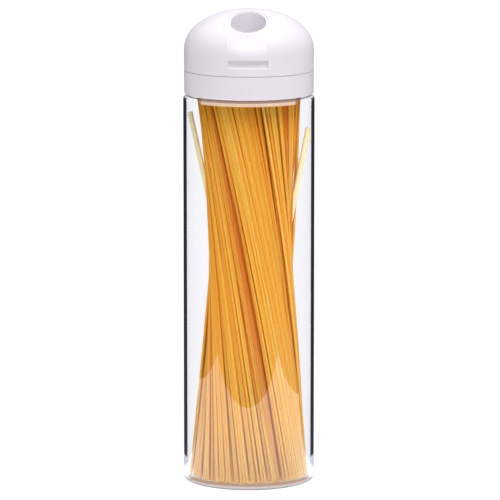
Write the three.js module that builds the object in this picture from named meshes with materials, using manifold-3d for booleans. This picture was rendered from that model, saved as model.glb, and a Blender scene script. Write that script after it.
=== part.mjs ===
// A tall spaghetti jar: a straight glass cylinder with a short stepped neck, and a domed plastic
// lid. The lid pulls off as a whole. Its dome turns on its collar, so that the measuring sleeve
// inside it stands either on the closed side of the deck or over the port in the deck.
// Millimetres, +Z up. The origin is the centre of the jar's foot, and the spout faces -Y.

import * as THREE from 'three';
import { mergeVertices } from 'three/addons/utils/BufferGeometryUtils.js';
import Module from 'manifold-3d';

// ---- driving dimensions ---------------------------------------------------------------------

const GAP = 0.3;                   // running and seating gap between neighbouring pieces
const SIDES = 64;                  // facets round the lid's large turned pieces
const SMALL_SIDES = 40;            // facets round the small turned pieces

const JAR = {
  radius: 44,
  wall: 2.3,
  floor: 3,
  footRadius: 3,                   // outer rounding at the foot
  floorRadius: 1.5,                // rounding between the wall and the floor, inside
  shoulderRadius: 3,
  shoulderTop: 261.8,
  neckRadius: 40.6,
  neckTop: 272.9,
  sides: 72,                       // facets round it
};

const COLLAR = {
  radius: 43.4,
  wall: 2.2,
  bottom: 262.8,
  top: 278.2,
  flangeInner: 38,
  flangeThickness: 1.6,
  edge: 0.8,
};

const DOME = {
  bottom: 278.6,
  springLine: 292,
  top: 319.5,
  roundness: 2.1,                  // exponent of the crown's outline, 2 being an ellipse
  wall: 2.2,
  edge: 0.4,
};

const SPOUT = {
  offset: 23,                      // spout axis in front of the jar's axis
  boreRadius: 11.8,
  sleeveRadius: 13,
  socketWall: 2,
  socketBottom: 298,
  lipDrop: 0.5,                    // how far the sleeve's end lies under the crown's surface
};

const CHUTE = {                    // sloping channel from the spout to the front of the dome
  halfWidth: 13.2,
  top: [-17, 316.4],               // y, z where it starts, beside the spout
  brink: [-36.4, 306.4],           // y, z where its floor turns steep, at the spout's front
  knee: [-41.2, 297],              // y, z where it flattens again
  bottom: [-43.4, 294.5],          // y, z where its floor runs out into the dome's wall
  floorThickness: 4,
};

const NOTCH = { halfWidth: 13.4, bottom: 284.4, top: 289.8, depth: 3.5, backing: 2 };

const DECK = { thickness: 1.8, plugInner: 35.5, plugRadius: 36.9, plugBottom: 265.2 };
const PORT = { radius: 12, offset: 23 };
const PLUG_LIP = { radius: 37.6, height: 1.2 };
const GASKET = { flange: 1, skirt: 0.35, ribs: 3, ribDepth: 0.45, ribHeight: 1 };
const BOSS = { radius: 6.5, top: 284.2, hole: 2.2 };
const POST = { radius: 5, bottom: 284.6, holeTop: 306 };
const SEAL = { inner: 12.2, outer: 14.2, thickness: 0.7 };
const SLEEVE_FLANGE = { radius: 14.5, thickness: 1.5 };
const SCREW = { shank: 1.9, top: 300, headRadius: 4.5, headHeight: 1.9, socket: 1.7, socketDepth: 1.2 };
const WASHER = { radius: 6.5, thickness: 1 };

// ---- levels and radii that follow from them -------------------------------------------------

const jarInner = JAR.radius - JAR.wall;
const neckInner = JAR.neckRadius - JAR.wall;
const collarInner = COLLAR.radius - COLLAR.wall;
const collarFlangeBottom = COLLAR.top - COLLAR.flangeThickness;
const deckTop = collarFlangeBottom - GAP;
const deckBottom = deckTop - DECK.thickness;
const gasketTop = deckBottom - GAP;
const washerBottom = deckBottom - GAP - WASHER.thickness;
const sealBottom = deckTop + GAP;
const sleeveBottom = sealBottom + SEAL.thickness + GAP;

// ---- materials ------------------------------------------------------------------------------

const finish = (color, roughness, metalness = 0) =>
  new THREE.MeshStandardMaterial({ color, roughness, metalness });

const GLASS = new THREE.MeshStandardMaterial({
  color: 0xe9f1f0,
  roughness: 0.04,
  transparent: true,
  opacity: 0.3,
});
const WHITE_PLASTIC = finish(0xf0edf2, 0.38);
const INNER_PLASTIC = finish(0xe8e6ea, 0.5);
const CLEAR_SILICONE = finish(0xdfe0df, 0.65);
const STEEL = finish(0xb9bbbe, 0.3, 1);

// ---- helpers --------------------------------------------------------------------------------

const wasm = await Module();
wasm.setup();

const pt = (x, y) => new THREE.Vector2(x, y);

// Points on a circular arc in the (radius, height) plane, angles in degrees.
function arc(cx, cy, radius, from, to, steps = 5) {
  const points = [];
  for (let i = 0; i <= steps; i += 1) {
    const angle = THREE.MathUtils.degToRad(from + ((to - from) * i) / steps);
    points.push(pt(cx + radius * Math.cos(angle), cy + radius * Math.sin(angle)));
  }
  return points;
}

// A body of revolution about +Z. The outline runs up the outside and down the inside.
function turned(outline, sides = SIDES) {
  const touchesAxis = outline[0].x === 0;
  const points = touchesAxis ? outline : [...outline, outline[0].clone()];
  return new THREE.LatheGeometry(points, sides).rotateX(Math.PI / 2);
}

// A tube or disc between two radii and two heights.
function ring(inner, outer, bottom, top, sides = SMALL_SIDES) {
  if (inner === 0) {
    return turned([pt(0, bottom), pt(outer, bottom), pt(outer, top), pt(0, top)], sides);
  }
  return turned([pt(inner, bottom), pt(outer, bottom), pt(outer, top), pt(inner, top)], sides);
}

// A prism of the given (y, z) outline, centred on the plane x = 0.
function crossPrism(outline, halfWidth) {
  const shape = new THREE.Shape(outline.map(([y, z]) => pt(y, z)));
  const geometry = new THREE.ExtrudeGeometry(shape, { depth: 2 * halfWidth, bevelEnabled: false });
  return geometry.translate(0, 0, -halfWidth).rotateX(Math.PI / 2).rotateZ(Math.PI / 2);
}

function toSolid(geometry) {
  const plain = geometry.clone();
  plain.deleteAttribute('normal');
  plain.deleteAttribute('uv');
  const merged = mergeVertices(plain, 1e-4);
  const corners = Array.from(merged.index.array);
  const triangles = [];
  for (let i = 0; i < corners.length; i += 3) {
    const [a, b, c] = corners.slice(i, i + 3);
    if (a !== b && b !== c && c !== a) triangles.push(a, b, c);
  }
  return new wasm.Manifold(new wasm.Mesh({
    numProp: 3,
    vertProperties: new Float32Array(merged.attributes.position.array),
    triVerts: new Uint32Array(triangles),
  }));
}

function toGeometry(solid) {
  const mesh = solid.getMesh();
  const geometry = new THREE.BufferGeometry();
  geometry.setAttribute('position', new THREE.BufferAttribute(mesh.vertProperties, 3));
  geometry.setIndex(new THREE.BufferAttribute(mesh.triVerts, 1));
  return geometry;
}

function piece(name, geometry, material) {
  const mesh = new THREE.Mesh(geometry, material);
  mesh.name = name;
  return mesh;
}

const atSpout = (geometry) => geometry.translate(0, -SPOUT.offset, 0);

// ---- jar ------------------------------------------------------------------------------------

function glassJar() {
  const foot = JAR.footRadius;
  const inside = JAR.floorRadius;
  const shoulder = JAR.shoulderRadius;
  const lip = JAR.wall / 2;
  const lipCentre = JAR.neckTop - lip;
  const underShoulder = JAR.shoulderTop - JAR.wall;
  const outline = [
    pt(0, 0),
    ...arc(JAR.radius - foot, foot, foot, -90, 0),
    ...arc(JAR.radius - shoulder, JAR.shoulderTop - shoulder, shoulder, 0, 85, 4),
    pt(JAR.neckRadius, JAR.shoulderTop + 1),
    ...arc(JAR.neckRadius - lip, lipCentre, lip, 0, 180, 6),
    pt(neckInner, underShoulder),
    pt(jarInner, underShoulder - shoulder),
    ...arc(jarInner - inside, JAR.floor + inside, inside, 0, -90, 4),
    pt(0, JAR.floor),
  ];
  return turned(outline, JAR.sides);
}

// ---- lid base: collar, deck with its plug, and the gasket ------------------------------------

function lidCollar() {
  const { radius, bottom, top, edge } = COLLAR;
  return turned([
    pt(collarInner, bottom),
    ...arc(radius - edge, bottom + edge, edge, -90, 0, 3),
    pt(radius, top - DOME.edge),
    pt(radius - DOME.edge, top),
    pt(COLLAR.flangeInner, top),
    pt(COLLAR.flangeInner, collarFlangeBottom),
    pt(collarInner, collarFlangeBottom),
  ]);
}

function portDeck() {
  const rim = collarInner - GAP;
  const body = toSolid(turned([
    pt(BOSS.hole, deckBottom),
    pt(DECK.plugInner, deckBottom),
    pt(DECK.plugInner, DECK.plugBottom),
    pt(PLUG_LIP.radius, DECK.plugBottom),
    pt(PLUG_LIP.radius, DECK.plugBottom + PLUG_LIP.height),
    pt(DECK.plugRadius, DECK.plugBottom + PLUG_LIP.height),
    pt(DECK.plugRadius, deckBottom),
    pt(rim, deckBottom),
    pt(rim, deckTop),
    pt(BOSS.radius, deckTop),
    pt(BOSS.radius, BOSS.top),
    pt(BOSS.hole, BOSS.top),
  ]));
  const port = ring(0, PORT.radius, deckBottom - 1, deckTop + 1).translate(0, PORT.offset, 0);
  return toGeometry(body.subtract(toSolid(port)));
}

// A silicone sleeve on the plug, with sealing ribs and a flat flange over the jar's lip.
function neckGasket() {
  const inner = DECK.plugRadius + GAP;
  const skirt = inner + GASKET.skirt;
  const bottom = DECK.plugBottom + PLUG_LIP.height + GAP;
  const flangeBottom = gasketTop - GASKET.flange;
  const pitch = (flangeBottom - bottom) / GASKET.ribs;
  const outline = [pt(inner, bottom), pt(skirt, bottom)];
  for (let i = 0; i < GASKET.ribs; i += 1) {
    const middle = bottom + (i + 0.5) * pitch;
    outline.push(pt(skirt, middle - GASKET.ribHeight / 2));
    outline.push(pt(skirt + GASKET.ribDepth, middle));
    outline.push(pt(skirt, middle + GASKET.ribHeight / 2));
  }
  const flangeRadius = JAR.neckRadius - GAP;
  outline.push(pt(skirt, flangeBottom), pt(flangeRadius, flangeBottom));
  outline.push(pt(flangeRadius, gasketTop), pt(inner, gasketTop));
  return turned(outline);
}

// ---- dome -----------------------------------------------------------------------------------

// Outline of the dome from its rim to its apex, moved in from the outer surface by an inset.
function crownOutline(inset, steps) {
  const radius = COLLAR.radius - inset;
  const rise = DOME.top - DOME.springLine - inset;
  const points = [];
  for (let i = 0; i <= steps; i += 1) {
    const angle = (i / steps) * (Math.PI / 2);
    const across = Math.cos(angle) ** (2 / DOME.roundness);
    const up = Math.sin(angle) ** (2 / DOME.roundness);
    points.push(pt(i === steps ? 0 : radius * across, DOME.springLine + rise * up));
  }
  return points;
}

// The solid that the dome's surface would enclose, cut off at a level, for trimming.
function crownSolid(inset) {
  const outer = crownOutline(inset, 14);
  const radius = COLLAR.radius - inset;
  return toSolid(turned([pt(0, DOME.bottom - 5), pt(radius, DOME.bottom - 5), ...outer]));
}

// Everything above the chute's floor, between its side walls.
function chuteSpace(lowered, halfWidth) {
  const [topY, topZ] = CHUTE.top;
  const [brinkY, brinkZ] = CHUTE.brink;
  const [kneeY, kneeZ] = CHUTE.knee;
  const [bottomY, bottomZ] = CHUTE.bottom;
  const steepness = (kneeZ - bottomZ) / (kneeY - bottomY);
  const front = bottomY - 3;
  const above = DOME.top + 5;
  return crossPrism([
    [front, bottomZ + steepness * (front - bottomY) - lowered],
    [kneeY, kneeZ - lowered],
    [brinkY, brinkZ - lowered],
    [topY, topZ - lowered],
    [topY, above],
    [front, above],
  ], halfWidth);
}

function notchSpace(inset, grow) {
  const front = -COLLAR.radius - 3;
  const back = -COLLAR.radius + 12;
  const { bottom, top, halfWidth } = NOTCH;
  const block = toSolid(crossPrism([
    [front, bottom - grow],
    [back, bottom - grow],
    [back, top + grow],
    [front, top + grow],
  ], halfWidth + grow));
  return block.subtract(toSolid(ring(0, COLLAR.radius - inset, bottom - 9, top + 9, SIDES)));
}

function domeCap() {
  const inner = crownOutline(DOME.wall, 10).reverse();
  const outer = crownOutline(0, 14);
  const shell = toSolid(turned([
    ...inner,
    pt(collarInner, DOME.bottom),
    pt(COLLAR.radius - DOME.edge, DOME.bottom),
    pt(COLLAR.radius, DOME.bottom + DOME.edge),
    ...outer,
  ]));
  const envelope = crownSolid(0);
  const socketInner = SPOUT.sleeveRadius + GAP;
  const socketOuter = socketInner + SPOUT.socketWall;
  const socket = toSolid(atSpout(ring(0, socketOuter, SPOUT.socketBottom, DOME.top + 2)));
  const chuteFloor = toSolid(chuteSpace(CHUTE.floorThickness, CHUTE.halfWidth + SPOUT.socketWall));
  const notchBack = notchSpace(NOTCH.depth + NOTCH.backing, NOTCH.backing);
  const post = toSolid(turned([
    pt(0, POST.holeTop),
    pt(BOSS.hole, POST.holeTop),
    pt(BOSS.hole, POST.bottom),
    pt(POST.radius, POST.bottom),
    pt(POST.radius, DOME.top - 1),
    pt(0, DOME.top - 1),
  ], SMALL_SIDES));
  const bore = toSolid(atSpout(ring(0, socketInner, SPOUT.socketBottom - 20, DOME.top + 5)));
  return toGeometry(shell
    .add(socket.add(chuteFloor).add(notchBack).add(post).intersect(envelope))
    .subtract(toSolid(chuteSpace(0, CHUTE.halfWidth)))
    .subtract(notchSpace(NOTCH.depth, 0))
    .subtract(bore));
}

function measuringSleeve() {
  const { boreRadius, sleeveRadius, lipDrop } = SPOUT;
  const flangeTop = sleeveBottom + SLEEVE_FLANGE.thickness;
  const tube = toSolid(atSpout(turned([
    pt(boreRadius, sleeveBottom),
    pt(SLEEVE_FLANGE.radius, sleeveBottom),
    pt(SLEEVE_FLANGE.radius, flangeTop),
    pt(sleeveRadius, flangeTop),
    pt(sleeveRadius, DOME.top + 2),
    pt(boreRadius, DOME.top + 2),
  ], SMALL_SIDES)));
  return toGeometry(tube
    .intersect(crownSolid(lipDrop))
    .subtract(toSolid(chuteSpace(lipDrop, CHUTE.halfWidth + 1))));
}

// ---- small pieces ---------------------------------------------------------------------------

function pivotScrew() {
  const headTop = washerBottom - GAP;
  const headBottom = headTop - SCREW.headHeight;
  const body = toSolid(turned([
    pt(0, headBottom),
    pt(SCREW.headRadius - 0.6, headBottom),
    pt(SCREW.headRadius, headBottom + 0.6),
    pt(SCREW.headRadius, headTop),
    pt(SCREW.shank, headTop),
    pt(SCREW.shank, SCREW.top - 1.5),
    pt(0, SCREW.top),
  ], 32));
  const socket = ring(0, SCREW.socket, headBottom - 1, headBottom + SCREW.socketDepth, 6);
  return toGeometry(body.subtract(toSolid(socket)));
}

// ---- assembly -------------------------------------------------------------------------------

const jar = new THREE.Group();
jar.add(piece('glass_jar', glassJar(), GLASS));

const lidBase = new THREE.Group();
lidBase.add(
  piece('lid_collar', lidCollar(), WHITE_PLASTIC),
  piece('port_deck', portDeck(), INNER_PLASTIC),
  piece('neck_gasket', neckGasket(), CLEAR_SILICONE),
);

const turningDome = new THREE.Group();
turningDome.add(
  piece('dome_cap', domeCap(), WHITE_PLASTIC),
  piece('measuring_sleeve', measuringSleeve(), INNER_PLASTIC),
  piece('sleeve_seal', atSpout(ring(SEAL.inner, SEAL.outer, sealBottom,
    sealBottom + SEAL.thickness)), CLEAR_SILICONE),
  piece('pivot_screw', pivotScrew(), STEEL),
  piece('pivot_washer', ring(SCREW.shank + GAP, WASHER.radius, washerBottom,
    washerBottom + WASHER.thickness, 32), STEEL),
);

const canister = new THREE.Group();
canister.add(jar, lidBase, turningDome);

export default canister;
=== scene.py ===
"""The looks of a tall glass spaghetti jar with a turning domed lid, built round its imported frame.

Metres, +Z up, the spout towards -Y. Every piece is a mesh made here from turned outlines, a mapped
grid for the dome and swept strands for the spaghetti, placed by the boxes of the frame's nodes.
"""

import math
import random

import bpy
import numpy as np
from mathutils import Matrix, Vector


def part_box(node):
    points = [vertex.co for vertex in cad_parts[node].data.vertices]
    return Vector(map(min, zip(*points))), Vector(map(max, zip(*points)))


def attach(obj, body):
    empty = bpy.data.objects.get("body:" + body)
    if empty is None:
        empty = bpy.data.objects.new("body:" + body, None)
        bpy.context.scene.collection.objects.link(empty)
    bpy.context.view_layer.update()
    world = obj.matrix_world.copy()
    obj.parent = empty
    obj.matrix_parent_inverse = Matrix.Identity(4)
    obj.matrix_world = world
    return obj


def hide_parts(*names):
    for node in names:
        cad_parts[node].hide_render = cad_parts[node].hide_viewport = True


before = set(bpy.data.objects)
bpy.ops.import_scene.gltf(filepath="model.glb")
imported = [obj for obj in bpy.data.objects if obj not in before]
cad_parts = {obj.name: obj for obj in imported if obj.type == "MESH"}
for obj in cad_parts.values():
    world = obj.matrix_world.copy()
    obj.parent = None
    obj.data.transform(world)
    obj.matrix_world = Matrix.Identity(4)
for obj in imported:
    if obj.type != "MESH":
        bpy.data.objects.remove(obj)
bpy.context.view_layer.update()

MM = 0.001
random.seed(11)

# ---- sizes, from the frame where it holds them ------------------------------------------------

glass_low, glass_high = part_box("glass_jar")
collar_low, collar_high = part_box("lid_collar")
dome_low, dome_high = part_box("dome_cap")
deck_low, deck_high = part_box("port_deck")
gasket_low, gasket_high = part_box("neck_gasket")
sleeve_low, sleeve_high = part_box("measuring_sleeve")
seal_low, seal_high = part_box("sleeve_seal")
screw_low, screw_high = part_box("pivot_screw")
washer_low, washer_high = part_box("pivot_washer")

GLASS_RADIUS = glass_high.x
NECK_TOP = glass_high.z
LID_RADIUS = collar_high.x
DOME_BOTTOM = dome_low.z
DOME_TOP = dome_high.z
SPOUT_Y = (sleeve_low.y + sleeve_high.y) / 2

GLASS_WALL = 2.3 * MM
GLASS_FLOOR = 3 * MM               # thickness of the floor
SHOULDER_TOP = 261.8 * MM
NECK_RADIUS = 40.6 * MM
LID_WALL = 2.2 * MM
SEAM_RISE = 0.15 * MM              # how far the collar comes up into the gap under the dome
SPRING_LINE = 292 * MM             # where the dome's upright wall turns into its crown
CROWN_ROUNDNESS = 2.1              # exponent of the crown's outline, 2 being an ellipse
SLEEVE_OUTER = 13 * MM
SLEEVE_BORE = 11.8 * MM
SPOUT_HOLE = 13.06 * MM
SLEEVE_LIP_DROP = 0.12 * MM
SLEEVE_LIP = 0.25 * MM             # rounding of the sleeve's end
HOLE_LIP = 0.15 * MM               # rounding of the spout hole's edge
BACK_GAP = 0.25 * MM               # how much wider the hole is behind the sleeve
RIM_EDGE = 0.25 * MM               # rounding of the dome's lower rim
RIM_INNER_EDGE = 0.3 * MM
CHUTE_HALF_WIDTH = 13.2 * MM
CHUTE_TOP = (-17 * MM, 316.4 * MM)       # y, z of the chute's floor beside the spout
CHUTE_BRINK = (-37.2 * MM, 306.2 * MM)   # where the floor turns steep, at the spout's front
CHUTE_KNEE = (-41.2 * MM, 297 * MM)      # where it flattens again
CHUTE_BOTTOM = (-43.4 * MM, 294.5 * MM)  # where it runs out into the dome's wall
CHUTE_STEP = 0.35 * MM                   # least depth of the chute's sides
CHUTE_SIDE = (0.2 * MM, 0.55 * MM)       # how far its side reaches out, and how wide the slope is
CHUTE_SOFTNESS = 0.2 * MM
CHUTE_FADE = 1 * MM                      # the step fades out over this far above the floor
BRINK_SOFTNESS = 0.6 * MM
KNEE_SOFTNESS = 1.5 * MM
NOTCH_HALF_WIDTH = 13.4 * MM
NOTCH_LOW = 284.4 * MM
NOTCH_HIGH = 289.2 * MM
NOTCH_DEPTH = 4.5 * MM
NOTCH_EDGE = 0.9 * MM              # width of the slope round the notch
NOTCH_SILL_DEPTH = 0.35            # share of the depth that is left at the notch's lower edge
NOTCH_END_RISE = 0.35              # share of the depth that is lost towards its ends


# ---- mesh helpers -----------------------------------------------------------------------------


def smoothstep(value):
    t = np.clip(value, 0.0, 1.0)
    return t * t * (3 - 2 * t)


def soft_positive(value, softness):
    """max(value, 0) with its corner rounded off over about the softness."""
    return 0.5 * (value + np.sqrt(value * value + softness * softness))


def make_object(name, vertices, faces, body, replaces=(), smooth=True):
    mesh = bpy.data.meshes.new(name)
    mesh.from_pydata([tuple(v) for v in vertices], [], faces)
    mesh.validate()
    mesh.polygons.foreach_set("use_smooth", [smooth] * len(mesh.polygons))
    obj = bpy.data.objects.new(name, mesh)
    bpy.context.scene.collection.objects.link(obj)
    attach(obj, body)
    if replaces:
        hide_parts(*replaces)
    return obj


def rounded_outline(corners, closed, steps=5, guard=0.35 * MM):
    """A turned outline of (radius, height, fillet) corners, each fillet an arc between guard points
    that keep the shading of the flat stretches flat."""
    count = len(corners)
    points = []
    for i, (x, y, fillet) in enumerate(corners):
        here = np.array([x, y])
        at_end = not closed and i in (0, count - 1)
        if at_end or fillet <= 0:
            points.append(here)
            continue
        before = np.array(corners[i - 1][:2])
        after = np.array(corners[(i + 1) % count][:2])
        into = (before - here) / np.linalg.norm(before - here)
        out = (after - here) / np.linalg.norm(after - here)
        half = math.acos(float(np.clip(np.dot(into, out), -1, 1))) / 2
        reach = fillet / math.tan(half)
        middle = here + (into + out) / np.linalg.norm(into + out) * fillet / math.sin(half)
        start = here + into * reach - middle
        sweep = math.pi - 2 * half
        turn = np.sign(start[1] * into[0] - start[0] * into[1])
        points.append(here + into * (reach + guard))
        for k in range(steps + 1):
            angle = turn * sweep * k / steps
            cosine, sine = math.cos(angle), math.sin(angle)
            points.append(middle + np.array([
                start[0] * cosine - start[1] * sine,
                start[0] * sine + start[1] * cosine,
            ]))
        points.append(here + out * (reach + guard))
    return points


def turned_mesh(outline, closed, segments=128, centre=(0.0, 0.0)):
    """Vertices and faces of a body of revolution. An open outline starts and ends on the axis."""
    vertices = []
    rows = []
    for radius, height in outline:
        if radius < 1e-7:
            rows.append([len(vertices)] * segments)
            vertices.append((centre[0], centre[1], height))
            continue
        rows.append(list(range(len(vertices), len(vertices) + segments)))
        for k in range(segments):
            angle = 2 * math.pi * k / segments
            x = centre[0] + radius * math.cos(angle)
            y = centre[1] + radius * math.sin(angle)
            vertices.append((x, y, height))
    if closed:
        rows.append(rows[0])
    faces = []
    for low, high in zip(rows, rows[1:]):
        for k in range(segments):
            n = (k + 1) % segments
            corners = [low[k], low[n], high[n], high[k]]
            face = [v for j, v in enumerate(corners) if v != corners[j - 1]]
            if len(set(face)) >= 3:
                faces.append(face)
    return vertices, faces


def turned(name, corners, body, replaces=(), closed=True, segments=128, centre=(0.0, 0.0)):
    outline = rounded_outline(corners, closed)
    vertices, faces = turned_mesh(outline, closed, segments, centre)
    return make_object(name, vertices, faces, body, replaces)


def grid_faces(rows, columns, wrap_rows):
    """Quads over a grid whose columns wrap round, and whose rows can too."""
    faces = []
    for i in range(rows if wrap_rows else rows - 1):
        low, high = i * columns, ((i + 1) % rows) * columns
        for k in range(columns):
            n = (k + 1) % columns
            faces.append((low + k, low + n, high + n, high + k))
    return faces


# ---- material helpers -------------------------------------------------------------------------


def new_material(name):
    material = bpy.data.materials.new(name)
    material.use_nodes = True
    tree = material.node_tree
    tree.nodes.clear()
    output = tree.nodes.new("ShaderNodeOutputMaterial")
    return material, tree, output


def add(tree, kind, inputs=None, links=None, **properties):
    """A node with its properties set, and its inputs given values or linked, by name or number."""
    node = tree.nodes.new(kind)
    for key, value in properties.items():
        setattr(node, key, value)
    for socket, value in (inputs or {}).items():
        node.inputs[socket].default_value = value
    for socket, source in (links or {}).items():
        tree.links.new(source, node.inputs[socket])
    return node


def object_place(tree):
    return add(tree, "ShaderNodeTexCoord").outputs["Object"]


def noise(tree, place, scale, detail):
    node = add(tree, "ShaderNodeTexNoise", {"Scale": scale, "Detail": detail}, {"Vector": place})
    return node.outputs["Fac"]


def relief(tree, height, strength, depth):
    """A normal bumped by the height."""
    node = add(tree, "ShaderNodeBump", {"Strength": strength, "Distance": depth}, {"Height": height})
    return node.outputs["Normal"]


def carried(tree, value, source, target=(0.0, 1.0), kind="LINEAR"):
    """The value, carried over from the source's range to the target's and held at its ends."""
    node = add(tree, "ShaderNodeMapRange", {
        "From Min": source[0], "From Max": source[1], "To Min": target[0], "To Max": target[1],
    }, {"Value": value}, interpolation_type=kind)
    return node.outputs["Result"]


def product(tree, first, second):
    return add(tree, "ShaderNodeMath", links={0: first, 1: second}, operation="MULTIPLY").outputs["Value"]


def ramp(tree, share, stops):
    """A colour ramp of (position, colour) stops, with its Color and Alpha outputs."""
    node = add(tree, "ShaderNodeValToRGB", links={"Fac": share})
    elements = node.color_ramp.elements
    while len(elements) > 1:
        elements.remove(elements[-1])
    elements[0].position, elements[0].color = stops[0]
    for position, colour in stops[1:]:
        elements.new(position).color = colour
    return node.outputs


def mixed(tree, share, first, second):
    """The first shader, with the second laid over it by the share."""
    return add(tree, "ShaderNodeMixShader", links={0: share, 1: first, 2: second}).outputs["Shader"]


def finish_surface(tree, output, colour, roughness, normal, constants):
    """Ends a material with a Principled shader of linked looks and of constants on its own sockets."""
    shader = add(tree, "ShaderNodeBsdfPrincipled", constants, {
        "Base Color": colour, "Roughness": roughness, "Normal": normal})
    tree.links.new(shader.outputs["BSDF"], output.inputs["Surface"])


# ---- materials --------------------------------------------------------------------------------


def moulded_plastic(name, colour, shade, roughness, grain):
    """Satin injection-moulded plastic: a faint cloudiness, uneven gloss and a fine spark texture."""
    material, tree, output = new_material(name)
    place = object_place(tree)
    tint = ramp(tree, noise(tree, place, 22.0, 3.0), [(0.3, (*shade, 1)), (0.7, (*colour, 1))])["Color"]
    gloss = carried(tree, noise(tree, place, 90.0, 4.0), (0.3, 0.7), (roughness - 0.05, roughness + 0.07))
    spark = relief(tree, noise(tree, place, 2600.0, 2.0), grain, 0.04 * MM)
    finish_surface(tree, output, tint, gloss, spark, {
        "IOR": 1.49,
        "Subsurface Weight": 0.12,
        "Subsurface Radius": (0.004, 0.0035, 0.003),
        "Subsurface Scale": 1.0,
    })
    return material


def silicone():
    """Milky soft silicone, with a faint cloudiness in its tint, its gloss and its skin."""
    material, tree, output = new_material("soft_silicone")
    cloud = noise(tree, object_place(tree), 60.0, 3.0)
    tint = ramp(tree, cloud, [(0.3, (0.62, 0.64, 0.64, 1)), (0.7, (0.72, 0.74, 0.73, 1))])["Color"]
    gloss = carried(tree, cloud, (0.3, 0.7), (0.42, 0.6))
    finish_surface(tree, output, tint, gloss, relief(tree, cloud, 0.15, 0.05 * MM), {
        "IOR": 1.41,
        "Subsurface Weight": 0.4,
        "Subsurface Radius": (0.003, 0.003, 0.003),
        "Subsurface Scale": 1.0,
    })
    return material


def turned_steel():
    """Stainless steel with fine turning rings about the jar's axis."""
    material, tree, output = new_material("turned_steel")
    wave = add(tree, "ShaderNodeTexWave", {"Scale": 900.0, "Distortion": 1.5, "Detail": 3.0},
               {"Vector": object_place(tree)}, wave_type="RINGS", rings_direction="Z")
    rings = wave.outputs["Fac"]
    tint = ramp(tree, rings, [(0.0, (0.48, 0.49, 0.51, 1)), (1.0, (0.66, 0.67, 0.68, 1))])["Color"]
    gloss = carried(tree, rings, (0.0, 1.0), (0.24, 0.36))
    finish_surface(tree, output, tint, gloss, relief(tree, rings, 0.2, 0.03 * MM), {"Metallic": 1.0})
    return material


FOOT_SHADE_HEIGHT = 140 * MM             # below this the strands are painted duller and darker: painted shade towards the floor
FOOT_SHADE_AMOUNT = 0.5                  # share of the painted shade at the foot
FOOT_SHADE_COLOUR = (0.66, 0.43, 0.09, 1)
PASTA_TINTS = [                    # from the darkest strand tone to the palest
    (0.0, (0.70, 0.18, 0.008, 1)),
    (0.3, (0.88, 0.335, 0.018, 1)),
    (0.6, (0.96, 0.45, 0.038, 1)),
    (0.8, (0.98, 0.56, 0.10, 1)),
    (1.0, (0.98, 0.88, 0.53, 1)),
]


def durum_pasta():
    """Dry durum spaghetti: amber, each strand a shade of its own, with a finely rough dull skin."""
    material, tree, output = new_material("durum_pasta")
    place = object_place(tree)
    along = add(tree, "ShaderNodeMapping", {"Scale": (1.0, 1.0, 0.04)}, {"Vector": place})
    streak = noise(tree, along.outputs["Vector"], 1500.0, 3.0)
    strand = add(tree, "ShaderNodeAttribute", attribute_name="strand_tone").outputs["Fac"]
    tone = add(tree, "ShaderNodeMath", {1: 0.35, 2: -0.17}, {0: streak}, operation="MULTIPLY_ADD")
    varied = add(tree, "ShaderNodeMath", links={0: strand, 1: tone.outputs["Value"]}, operation="ADD")
    tint = ramp(tree, varied.outputs["Value"], PASTA_TINTS)["Color"]
    height = add(tree, "ShaderNodeSeparateXYZ", links={"Vector": place}).outputs["Z"]
    # painted shade: the strands turn duller and darker towards the floor
    foot_shade = carried(tree, height, (0.0, FOOT_SHADE_HEIGHT), (FOOT_SHADE_AMOUNT, 0.0), "SMOOTHSTEP")
    foot_shaded = add(tree, "ShaderNodeMixRGB", {"Color2": FOOT_SHADE_COLOUR}, {"Fac": foot_shade, "Color1": tint})
    gloss = carried(tree, streak, (0.0, 1.0), (0.5, 0.7))
    skin = relief(tree, streak, 0.3, 0.06 * MM)
    finish_surface(tree, output, foot_shaded.outputs["Color"], gloss, skin, {
        "IOR": 1.45,
        "Specular IOR Level": 0.22,
        "Subsurface Weight": 0.25,
        "Subsurface Radius": (0.0025, 0.0012, 0.0004),
        "Subsurface Scale": 1.0,
    })
    return material


# ---- glass ------------------------------------------------------------------------------------

GLASS_IOR = 1.47
GLASS_TINT = (0.979, 0.979, 0.992, 1)
LAMPS_THROUGH_GLASS = (1.30, 1.30, 1.30, 1)  # the lamps shine in more strongly than they would
EDGE_START = 0.672                 # Layer Weight facing where the wall starts to be seen along itself
EDGE_END = 0.70
# painted colour of the wall's edge line, standing for the dark that a clear wall refracts edge-on
PAINTED_EDGE_COLOUR = (0.034, 0.035, 0.045, 1)
EDGE_SLOPES = (0.45, 0.85)         # upward part of the normal over which the edge line fades out
FOOT_TOP = (16.4 * MM, 17.8 * MM)  # heights between which the dark edge ends above the thick foot
FOOT_EDGE = 0.85                   # how strongly the foot's edge is drawn, pale instead of dark
# painted colour of the foot's edge line, standing for the pale that the thick foot refracts
PAINTED_FOOT_EDGE_COLOUR = (0.78, 0.79, 0.90, 1)
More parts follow.
